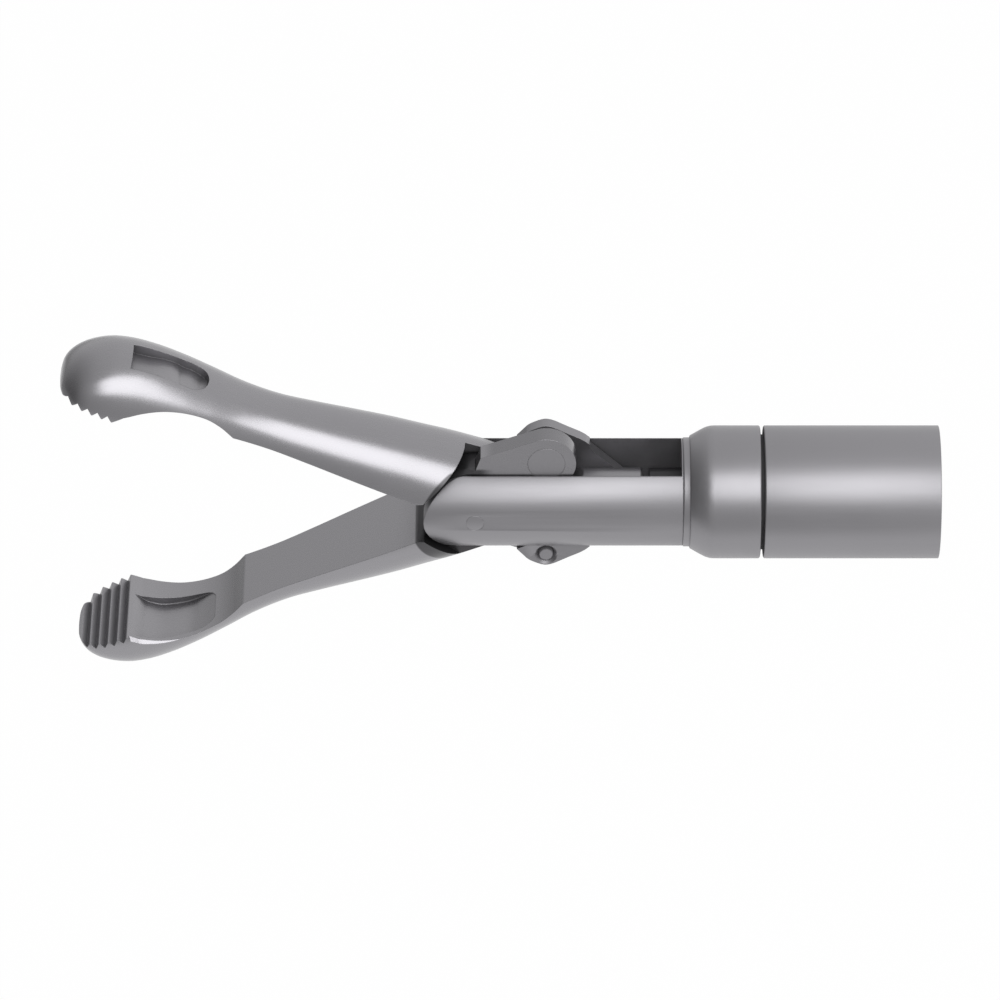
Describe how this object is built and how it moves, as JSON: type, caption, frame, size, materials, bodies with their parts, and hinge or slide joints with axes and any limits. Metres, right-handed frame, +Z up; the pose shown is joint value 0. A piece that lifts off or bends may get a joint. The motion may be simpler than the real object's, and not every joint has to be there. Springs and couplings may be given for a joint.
{
  "type": "laparoscopic grasper",
  "caption": "Slender tube-shafted surgical grasper tip: spoon-shaped jaws with cross teeth at the tips, opened on one pivot by a push rod and crossing links.",
  "frame": {"origin": "middle of the tube's cut back end, on the shaft's axis", "axes": "+X along the shaft away from the jaws, Y along the pivot pin, +Z up in the plane the jaws open in"},
  "size_m": [0.0328, 0.005, 0.0141],
  "materials": {
    "tube_steel": "satin drawn stainless steel",
    "collar_steel": "satin turned stainless steel",
    "fork_steel": "satin turned and milled stainless steel",
    "pin_steel": "satin stainless steel dressed flush",
    "bush_steel": "turned stainless steel",
    "rod_steel": "satin ground stainless steel",
    "jaw_steel": "brushed satin stainless steel",
    "link_steel": "satin milled stainless steel"
  },
  "bodies": {
    "shaft": {"outer_tube": "tube_steel", "end_collar": "collar_steel", "fork": "fork_steel", "pivot_pin": "pin_steel", "guide_bush": "bush_steel"},
    "rod": {"push_rod": "rod_steel", "rod_head": "rod_steel"},
    "upper_jaw_body": {"upper_jaw": "jaw_steel", "upper_link_pin": "pin_steel"},
    "lower_jaw_body": {"lower_jaw": "jaw_steel", "lower_link_pin": "pin_steel"},
    "upper_link_body": {"upper_link": "link_steel", "rod_pin": "pin_steel"},
    "lower_link_body": {"lower_link": "link_steel"}
  },
  "joints": [
    {"name": "upper_jaw_hinge", "type": "hinge", "parent": "shaft", "child": "upper_jaw_body", "pos_m": [-0.01741, 0, 0], "axis": [0, -1, 0], "range_deg": [0, 20.52]},
    {"name": "lower_jaw_hinge", "type": "hinge", "parent": "shaft", "child": "lower_jaw_body", "pos_m": [-0.01741, 0, 0], "axis": [0, 1, 0], "range_deg": [0, 20.52]},
    {"name": "rod_slide", "type": "slide", "parent": "shaft", "child": "rod", "axis": [1, 0, 0], "range_m": [0, 0.0012]},
    {"name": "upper_link_hinge", "type": "hinge", "parent": "upper_jaw_body", "child": "upper_link_body", "pos_m": [-0.01474, 0, -0.00212], "axis": [0, 1, 0], "range_deg": [0, 42.77]},
    {"name": "lower_link_hinge", "type": "hinge", "parent": "lower_jaw_body", "child": "lower_link_body", "pos_m": [-0.01474, 0, 0.00212], "axis": [0, -1, 0], "range_deg": [0, 42.77]}
  ],
  "couplings": [
    {"joint": "lower_jaw_hinge", "follows": "upper_jaw_hinge", "ratio": 1},
    {"joint": "rod_slide", "follows": "upper_jaw_hinge", "m_per_rad": 0.0033423},
    {"joint": "upper_link_hinge", "follows": "upper_jaw_hinge", "ratio": 2.0843},
    {"joint": "lower_link_hinge", "follows": "upper_jaw_hinge", "ratio": 2.0843}
  ]
}
